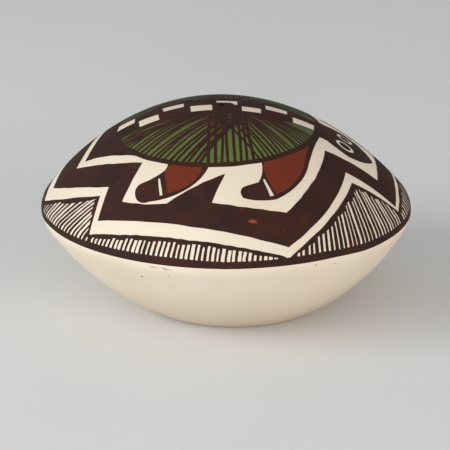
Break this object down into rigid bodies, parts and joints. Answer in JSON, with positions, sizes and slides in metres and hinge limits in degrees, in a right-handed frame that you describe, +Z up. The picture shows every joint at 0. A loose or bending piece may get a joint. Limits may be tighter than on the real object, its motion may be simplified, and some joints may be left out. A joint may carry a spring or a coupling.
{
  "type": "pueblo pottery seed pot",
  "caption": "Small hand-built clay seed pot: flat foot, wide lower bowl, low closed dome with a tiny mouth, pale slip and a painted turtle with lightning band and fine-line hatching",
  "frame": {"origin": "middle of the flat foot, on the surface the pot stands on", "axes": "+Z up through the dome; +X along the painted turtle's spine from tail to head; -Y towards the front of the pot as pictured"},
  "size_m": [0.09, 0.09, 0.049],
  "materials": {
    "bare_clay": "unglazed fired clay, matt",
    "cream_slip": "polished pale slip, soft satin",
    "dark_paint": "dark brown mineral paint, matt to satin",
    "green_paint": "olive green paint, matt",
    "red_paint": "red-brown paint, matt"
  },
  "bodies": {
    "root": {"base_bowl": "bare_clay", "shoulder_dome": "bare_clay", "bowl_slip": "cream_slip", "dome_slip": "cream_slip", "shell_green": "green_paint", "rim_line": "dark_paint", "lightning_band": "dark_paint", "hatching_front_left": "dark_paint", "hatching_front": "dark_paint", "hatching_front_right": "dark_paint", "hatching_head_side": "dark_paint", "hatching_back_right": "dark_paint", "hatching_back": "dark_paint", "hatching_back_left": "dark_paint", "shell_strokes": "dark_paint", "shell_outline": "dark_paint", "tail": "dark_paint", "head": "dark_paint", "hind_foot_near": "dark_paint", "hind_foot_far": "dark_paint", "fore_foot_near": "dark_paint", "fore_foot_far": "dark_paint", "hind_skin_near": "red_paint", "hind_skin_far": "red_paint", "fore_skin_near": "red_paint", "fore_skin_far": "red_paint"}
  },
  "joints": []
}
